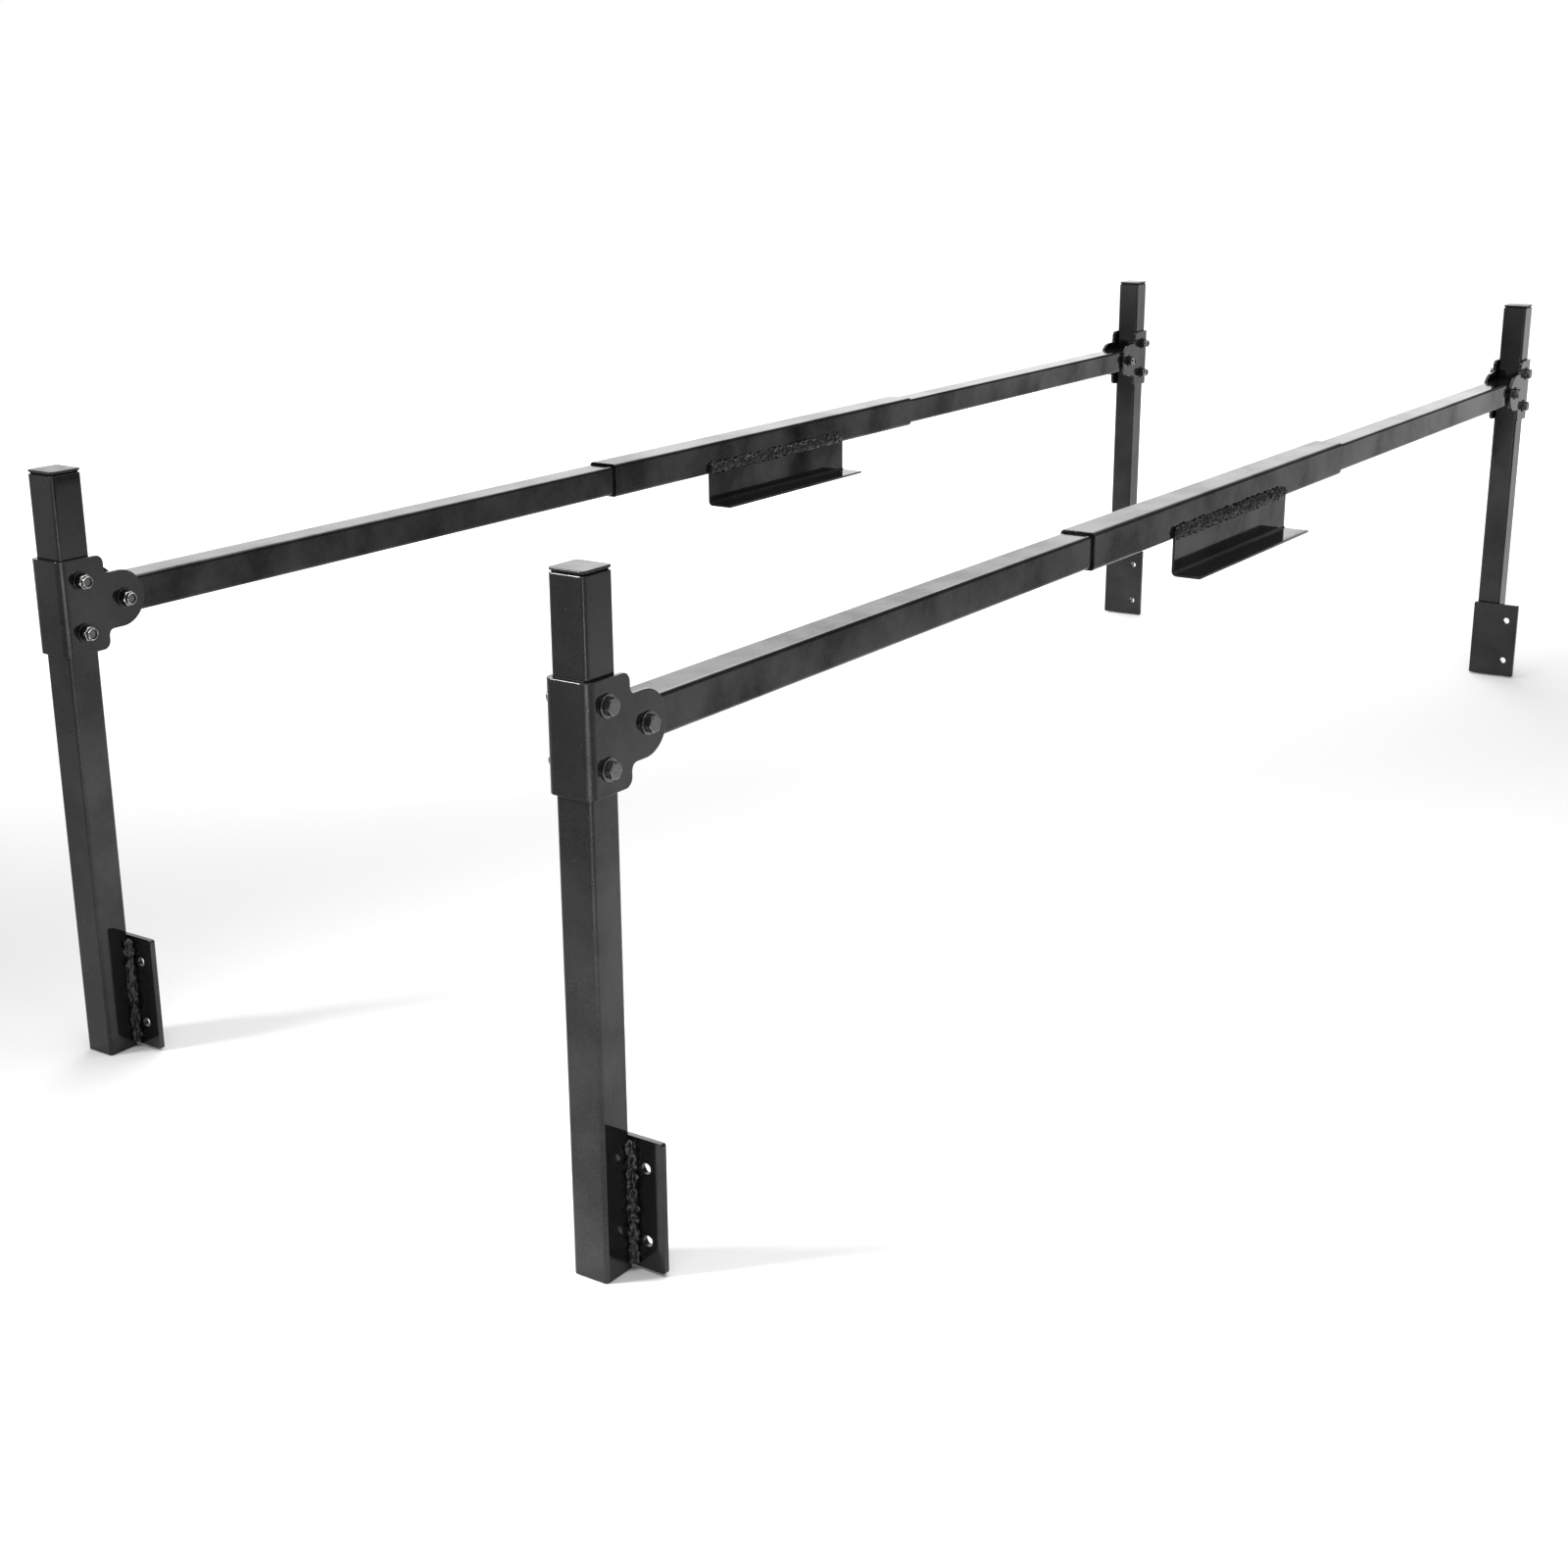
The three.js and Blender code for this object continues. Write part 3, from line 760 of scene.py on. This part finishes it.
def drill(made, places, diameter):
    """Cuts round holes along X through a piece, at places in metres, and shades it again."""
    cutter_mesh = bpy.data.meshes.new("cutter")
    cutter = bpy.data.objects.new("cutter", cutter_mesh)
    bpy.context.scene.collection.objects.link(cutter)
    drills = bmesh.new()
    for place in places:
        turn = Matrix.Translation(place) @ Matrix.Rotation(QUARTER, 4, "Y")
        bmesh.ops.create_cone(
            drills, cap_ends=True, segments=HOLE_STEPS, radius1=diameter / 2,
            radius2=diameter / 2, depth=DRILL_LENGTH * MM, matrix=turn,
        )
    drills.to_mesh(cutter_mesh)
    drills.free()
    cut = made.modifiers.new("holes", "BOOLEAN")
    cut.object = cutter
    cut.operation = "DIFFERENCE"
    cut.solver = "EXACT"
    graph = bpy.context.evaluated_depsgraph_get()
    result = bpy.data.meshes.new_from_object(made.evaluated_get(graph), depsgraph=graph)
    made.modifiers.clear()
    old = made.data
    made.data = result
    bpy.data.meshes.remove(old)
    bpy.data.objects.remove(cutter)
    bpy.data.meshes.remove(cutter_mesh)
    smooth(result, area_normals(result))


def centre_of(node):
    low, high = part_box(node)
    return (low + high) / 2


# ---- Pieces of one post ------------------------------------------------------------------------


def cap_shape(size, top):
    """Low lid with a rounded edge and a faint crown, on a neck, and a hollow ribbed plug below it."""
    seat = top + CAP_GAP
    neck = seat + CAP_NECK
    peak = seat + CAP_LIP
    plug = TUBE_WALL + CAP_GAP
    centre_inset = size / 2 - CAP_CENTRE
    path = [
        (centre_inset, peak, 0),
        (size / 4, peak - CAP_CROWN * 0.2, 0),
        (4.0, peak - CAP_CROWN * 0.75, 0),
    ]
    for inset, depth, edge in reversed(rounding(CAP_EDGE, 5)):
        path.append((inset, peak - CAP_CROWN - depth, edge * 0.8))
    path += [(inset, neck + depth, edge * 0.3) for inset, depth, edge in rounding(0.6)]
    path += [(CAP_NECK_INSET, neck - 0.1, 0), (CAP_NECK_INSET, seat, 0), (plug + 0.25, seat, 0)]
    for k in range(CAP_RIBS):
        rib = seat - 3.0 - CAP_RIB_PITCH * k
        path += [(plug + 0.3, rib + 0.9, 0), (plug, rib, 0), (plug + 0.3, rib - 0.9, 0)]
    low = seat + (CAP_LIP - CAP_EDGE) / 2 - CAP_PLUG
    path += [(plug + 0.5, low + 0.3, 0), (plug + 0.9, low, 0)]
    path += [(plug + 1.7, low, 0), (plug + 2, low + 0.4, 0)]
    path += [(plug + 2, seat + 0.6, 0), (centre_inset, seat + 0.6, 0)]
    return square_turned(size, TUBE_CORNER, path)


def clamp_shape(half_tube, pivot, half_height):
    """The folded clamp: a web over the post's outer face, and a flange with an ear on each side.

    The flat pattern has u = 0 on the web's middle. It crosses the post's centre at u = post.
    """
    out = half_tube + CLAMP_GAP + CLAMP_THICKNESS
    flat = out - CLAMP_BEND
    bend = QUARTER * CLAMP_BEND
    post = flat + bend - (-out + CLAMP_BEND)
    edge = post + half_tube + CLAMP_LAP
    ear = post + pivot - EAR_SETBACK
    corner, fillet = CLAMP_CORNER, CLAMP_FILLET
    top = half_height
    folds = [flat + bend * i / FOLD_STEPS for i in range(FOLD_STEPS + 1)]
    right = [(u, -top) for u in folds]
    right += arc((edge - corner, -top + corner), corner, -QUARTER, 0, ROUND_STEPS)
    right += arc((edge + fillet, -EAR_RADIUS - fillet), fillet, math.pi, QUARTER, ROUND_STEPS)
    right += arc((ear, 0), EAR_RADIUS, -QUARTER, QUARTER, EAR_STEPS)
    right += arc((edge + fillet, EAR_RADIUS + fillet), fillet, -QUARTER, -math.pi, ROUND_STEPS)
    right += arc((edge - corner, top - corner), corner, 0, QUARTER, ROUND_STEPS)
    right += [(u, top) for u in reversed(folds)]
    outline = right + [(-u, v) for u, v in reversed(right)]
    holes = []
    for side in (1, -1):
        for inwards, height in ((0, POST_BOLT_REACH), (0, -POST_BOLT_REACH), (pivot, 0)):
            holes.append(circle((side * (post + inwards), height), HOLE))

    def place(u, v, depth):
        side = 1 if u >= 0 else -1
        reach = abs(u)
        if reach <= flat:
            return u, -out + depth, v
        turn = (reach - flat) / CLAMP_BEND
        if turn <= QUARTER:
            radius = CLAMP_BEND - depth
            across = side * (flat + radius * math.sin(turn))
            return across, -out + CLAMP_BEND - radius * math.cos(turn), v
        return side * (out - depth), -out + CLAMP_BEND + reach - flat - bend, v

    lines = folds + [-u for u in folds]
    return folded_sheet([outline, *holes], CLAMP_THICKNESS, CUT_EDGE, lines, place)


def rounded_outline(left, bottom, right, top, corner, steps):
    """A rectangle's loop with round corners, anticlockwise, as its four corners in turn."""
    centres = (
        (right - corner, bottom + corner), (right - corner, top - corner),
        (left + corner, top - corner), (left + corner, bottom + corner),
    )
    return [
        arc(centre, corner, (k - 1) * QUARTER, k * QUARTER, steps)
        for k, centre in enumerate(centres)
    ]


def plate_shape(low, high, hole_x):
    """Flat foot plate between two corners of its box, in millimetres; holes at hole_x."""
    bottom, top = low.z, high.z
    outline = sum(rounded_outline(low.x, bottom, high.x, top, PLATE_CORNER, PLATE_STEPS), [])
    middle = (bottom + top) / 2
    holes = [circle((hole_x, middle + s * HOLE_PITCH / 2), HOLE) for s in (-1, 1)]

    def place(u, v, depth):
        return u, low.y + depth, v

    return folded_sheet([outline, *holes], high.y - low.y, PLATE_EDGE, [], place)


def head_bolt_shape(under, end):
    """Hex bolt along +Z: a chamfered head standing on under, and a shank down to end."""
    top = under + HEAD_HEIGHT
    flat = HEX / 2
    path = [
        (flat * 0.25, top, 0, 0), (flat * 0.85, top, 0, 0), (flat * 0.94, top - 0.01, 0, 0),
        (flat * 0.965, top - 0.06, 0.6, 1), (flat * 0.99, top - 0.2, 0.8, 1), (flat, top - 0.42, 0.5, 1),
        (flat, top - 0.7, 0, 1), (flat, under + 0.9, 0, 2), (flat, under + 0.35, 0.2, 2),
        (flat - 0.25, under + 0.12, 0.5, 2), (flat - 0.5, under, 0, 0), (BOLT / 2 + 0.4, under, 0, 0),
        (BOLT / 2, under - 0.4, 0, 0), (BOLT / 2, end + 0.9, 0, 0), (BOLT / 2 - 0.8, end + 0.05, 0.5, 0),
        (BOLT / 2 - 1.1, end, 0, 0),
    ]
    return turned(path, False)


def lock_nut_shape(face):
    """Nylon-insert nut along +Z: a chamfered hexagon on face, then a collar rolled inwards."""
    flat = HEX / 2
    bore = NUT_BORE / 2
    ring = COLLAR / 2
    hexed = face + NUT_HEX_HEIGHT
    top = face + NUT_HEIGHT
    path = [
        (bore, face + 0.7, 0, 0), (bore + 0.6, face, 0, 0), (flat - 0.7, face, 0, 0),
        (flat - 0.1, face + 0.25, 0.3, -1), (flat, face + 0.7, 0, -1),
        (flat, hexed - 1.1, 0, 1), (flat, hexed - 0.75, 0.7, 1), (flat - 0.15, hexed - 0.45, 0.9, 1),
        (flat - 0.45, hexed - 0.15, 0.3, 0), (ring + 0.25, hexed, 0, 0),
        (ring + 0.02, hexed + 0.35, 0.1, 0), (ring, top - 1.3, 0.3, 0),
        (ring - 0.12, top - 0.7, 0.8, 0), (ring - 0.42, top - 0.22, 1, 0),
        (ring - 0.85, top - 0.02, 1, 0), (ring - 1.02, top - 0.1, 0.7, 0),
        (ring - 1.1, top - 0.4, 0.1, 0), (ring - 1.1, top - 2.6, 0, 0), (bore, top - 2.75, 0, 0),
    ]
    return turned(path, True)


def nylon_ring_shape(face):
    """The locking ring under a nut's collar, around the bolt's end."""
    top = face + NUT_HEIGHT
    outer = COLLAR / 2 - 1.14
    inner = BOLT / 2 + 0.12
    lip = inner - 0.8
    path = [
        (inner, top - 2.4, 0, 0), (outer, top - 2.4, 0, 0), (outer, top - 0.75, 0, 0),
        (outer - 0.1, top - 0.6, 0, 0), (lip + 0.18, top - 0.6, 0, 0), (lip, top - 0.8, 0, 0),
        (lip, top - 1.2, 0, 0), (inner, top - 1.7, 0, 0),
    ]
    return turned(path, True)


def washer_shape(low):
    """Punched flat washer: one edge rolled over, the other nearly sharp."""
    outer, inner = WASHER / 2, BOLT / 2 + 0.35
    top = low + WASHER_THICKNESS - 0.02
    path = [
        (inner, low + 0.15, 0, 0), (inner + 0.15, low, 0, 0), (outer - 0.15, low, 0, 0),
        (outer, low + 0.15, 0, 0), (outer, top - 0.3, 0, 0), (outer - 0.09, top - 0.09, 0.8, 0),
        (outer - 0.3, top, 0.2, 0), (outer - 0.6, top, 0, 0), (inner + 0.3, top, 0, 0),
        (inner, top - 0.3, 0, 0),
    ]
    return turned(path, True)


def fillet_curve(across, along):
    """Outer face of a fillet bead in the corner between two faces, bulging outwards."""
    def curve(t):
        angle = QUARTER * t
        a = across * math.cos(angle) ** 0.85
        b = along * math.sin(angle) ** 0.85
        return a, b, (math.cos(angle), math.sin(angle))
    return curve


def finished(name, shape, turn, slot, node, stands=True):
    """A piece in its slot's own material."""
    return piece(name, shape, turn, materials[slot], node, stands)


def half_turn(right):
    """Right posts are the left set turned half round."""
    return Matrix.Rotation(math.pi, 4, "Z") if right else Matrix.Identity(4)


def in_local(turn, node):
    """A CAD node's box in a post's own axes, in millimetres."""
    low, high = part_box(node)
    back = turn.inverted()
    a, b = back @ low, back @ high
    low = Vector(map(min, a, b)) / MM
    high = Vector(map(max, a, b)) / MM
    return low, high


def post_set(prefix, right, head_side, seed):
    """One post, and everything that is bolted or welded to it."""
    place = centre_of(f"{prefix}_post")
    turn = Matrix.Translation((place.x, place.y, 0)) @ half_turn(right)
    side = -1 if right else 1

    low, high = in_local(turn, f"{prefix}_post")
    size = high.x - low.x
    half = size / 2
    clamp_low, clamp_high = in_local(turn, f"{prefix}_clamp")
    axis_height = (clamp_low.z + clamp_high.z) / 2
    bolt_low, bolt_high = in_local(turn, f"{prefix}_pivot_bolt")
    pivot = (bolt_low.y + bolt_high.y) / 2
    up = Matrix.Translation((0, 0, axis_height * MM))

    tube = square_tube(size, TUBE_CORNER, TUBE_WALL, low.z, high.z)
    made = finished(f"{prefix}_post_tube", tube, turn, "powder_coat", f"{prefix}_post")
    bolt_places = [turn @ (Vector((0, 0, axis_height + s * POST_BOLT_REACH)) * MM) for s in (-1, 1)]
    drill(made, bolt_places, HOLE * MM)

    finished(f"{prefix}_end_cap", cap_shape(size, high.z), turn, "cap_plastic", f"{prefix}_cap")
    clamp = clamp_shape(half, pivot, (clamp_high.z - clamp_low.z) / 2)
    finished(f"{prefix}_folded_clamp", clamp, turn @ up, "powder_coat", f"{prefix}_clamp")

    low, high = in_local(turn, f"{prefix}_foot_plate")
    hole_x = side * (half + HOLE_LAP)
    plate = plate_shape(low, high, hole_x)
    finished(f"{prefix}_mounting_plate", plate, turn, "powder_coat", f"{prefix}_foot_plate")

    low, high = in_local(turn, f"{prefix}_foot_weld")
    seat = half * side
    foot_bead(f"{prefix}_foot_bead", turn, low, high, seat, seed, f"{prefix}_foot_weld", FOOT_LUMP)
    low, high = in_local(turn, f"{prefix}_back_weld")
    seed += BACK_SEED
    foot_bead(f"{prefix}_back_bead", turn, low, high, -seat, seed, f"{prefix}_back_weld", BACK_LUMP)

    for name in BOLT_SPIN:
        fastener(prefix, name, turn, side * head_side)


def foot_bead(name, turn, low, high, seat, seed, node, lump):
    """A bead in the corner between the foot plate and the post's side, which is at x = seat."""
    across = high.x - low.x
    along = high.y - low.y
    length = high.z - low.z
    back = [(-BEAD_SUNK, along * 0.6), (-BEAD_SUNK, -BEAD_SUNK), (across * 0.6, -BEAD_SUNK)]
    face = fillet_curve(across * FOOT_BEAD_FULLNESS, along * FOOT_BEAD_FULLNESS)
    shape = weld_bead(face, back, length, seed, lump=lump, **FOOT_BEAD)
    side = math.copysign(1, seat)
    basis = Matrix((
        (side, 0, 0, seat * MM),
        (0, -1, 0, high.y * MM),
        (0, 0, 1, low.z * MM),
        (0, 0, 0, 1),
    ))
    finished(name, shape, turn @ basis, "weld_bead", node)


def fastener(prefix, name, turn, head_side):
    """A bolt with its washer on one flange, and a nut with its washer on the other."""
    bolt, nut = f"{prefix}_{name}_bolt", f"{prefix}_{name}_nut"
    low, high = in_local(turn, bolt)
    at = (low + high) / 2
    under = min(abs(low.x), abs(high.x)) - HEAD_HEIGHT
    end = BOLT_END - under - NUT_HEIGHT
    spin = Matrix.Rotation(math.radians(BOLT_SPIN[name]), 4, "Z")
    base = turn @ Matrix.Translation((0, at.y * MM, at.z * MM))
    towards = base @ Matrix.Rotation(head_side * QUARTER, 4, "Y")
    away = base @ Matrix.Rotation(-head_side * QUARTER, 4, "Y")
    hex_bolt = head_bolt_shape(under, end)
    finished(f"{prefix}_{name}_hex_bolt", hex_bolt, towards @ spin, "fastener_zinc", bolt)
    washer = washer_shape(under - WASHER_THICKNESS)
    finished(f"{prefix}_{name}_head_washer", washer, towards, "fastener_zinc", bolt, False)
    lock_nut = lock_nut_shape(under)
    piece(f"{prefix}_{name}_lock_nut", lock_nut, away @ spin, nut_finish, nut)
    # The nut's washer wears the darker zinc, which is painted shade.
    piece(f"{prefix}_{name}_nut_washer", washer, away, nut_washer_shaded_finish, nut, False)
    ring = nylon_ring_shape(under)
    piece(f"{prefix}_{name}_nylon_ring", ring, away, nylon_finish, nut, False)


# ---- Pieces of one rail ------------------------------------------------------------------------

ALONG_Y = Matrix.Rotation(-QUARTER, 4, "X")


def level_tube(node, corner, wall):
    """A square tube that lies along Y, as its CAD node does."""
    low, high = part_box(node)
    middle = (low + high) / 2
    turn = Matrix.Translation((middle.x, 0, middle.z)) @ ALONG_Y
    size = (high.x - low.x) / MM
    shape = square_tube(size, corner, wall, low.y / MM, high.y / MM)
    return piece(f"{node}_tube", shape, turn, long_coat, node)


def rail_tube(prefix):
    made = level_tube(f"{prefix}_rail", TUBE_CORNER, TUBE_WALL)
    drill(made, [centre_of(f"{prefix}_pivot_bolt")], HOLE * MM)


def sleeve_tube(name):
    level_tube(f"{name}_sleeve", SLEEVE_CORNER, SLEEVE_WALL)


def shelf_angle(name):
    """Folded angle: a leg against the sleeve and a shelf that stands out from it."""
    node = f"{name}_angle"
    low, high = (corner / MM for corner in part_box(node))
    bend = QUARTER * ANGLE_BEND
    leg = high.z - low.z - ANGLE_BEND
    shelf = high.x - low.x - ANGLE_BEND
    width = leg + bend + shelf
    folds = [leg + bend * i / FOLD_STEPS for i in range(FOLD_STEPS + 1)]
    corners = rounded_outline(0, low.y, width, high.y, ANGLE_CORNER, ANGLE_STEPS)
    outline = corners[3] + [(u, low.y) for u in folds]
    outline += corners[0] + corners[1]
    outline += [(u, high.y) for u in reversed(folds)] + corners[2]

    def place(u, v, depth):
        if u <= leg:
            return low.x + depth, v, high.z - u
        turn = (u - leg) / ANGLE_BEND
        if turn <= QUARTER:
            radius = ANGLE_BEND - depth
            across = low.x + ANGLE_BEND - radius * math.cos(turn)
            return across, v, low.z + ANGLE_BEND - radius * math.sin(turn)
        return low.x + ANGLE_BEND + u - leg - bend, v, low.z + depth

    shape = folded_sheet([outline], ANGLE_THICKNESS, CUT_EDGE, folds, place)
    piece(f"{name}_shelf_angle", shape, Matrix.Identity(4), long_coat, node)


def shelf_bead(name, seed):
    """The broad bead that runs over the angle's upper edge and up the sleeve."""
    node = f"{name}_angle_weld"
    low, high = (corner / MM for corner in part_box(node))
    sheet = ANGLE_THICKNESS

    def curve(t):
        rise = SHELF_BEAD_RISE - (SHELF_BEAD_RISE + SHELF_BEAD_LAP) * t
        out = sheet * (0.1 + 1.2 * math.sin(math.pi * (t * 0.6 + 0.05)))
        return out, rise, (0.9, 0.35 - 0.9 * t)

    face = sheet - 0.3
    back = [
        (face, -SHELF_BEAD_LAP * 0.9), (face, -0.3),
        (-BEAD_SUNK, -0.3), (-BEAD_SUNK, SHELF_BEAD_RISE * 0.9),
    ]
    shape = weld_bead(curve, back, high.y - low.y, seed, **SHELF_BEAD)
    basis = Matrix((
        (1, 0, 0, low.x * MM),
        (0, 0, 1, low.y * MM),
        (0, 1, 0, low.z * MM),
        (0, 0, 0, 1),
    ))
    finished(f"{name}_shelf_bead", shape, basis, "weld_bead", node)


# ---- The scene ---------------------------------------------------------------------------------

bpy.context.scene.view_settings.view_transform = "Standard"
camera()
world()
floor()
for box in SOFTBOXES:
    softbox(*box)

seed = 1
for name, head_side in HEAD_SIDES.items():
    for side in ("left", "right"):
        post_set(f"{name}_{side}", side == "right", head_side, seed)
        rail_tube(f"{name}_{side}")
        seed += 1
    sleeve_tube(name)
    shelf_angle(name)
    shelf_bead(name, seed + SHELF_SEED)
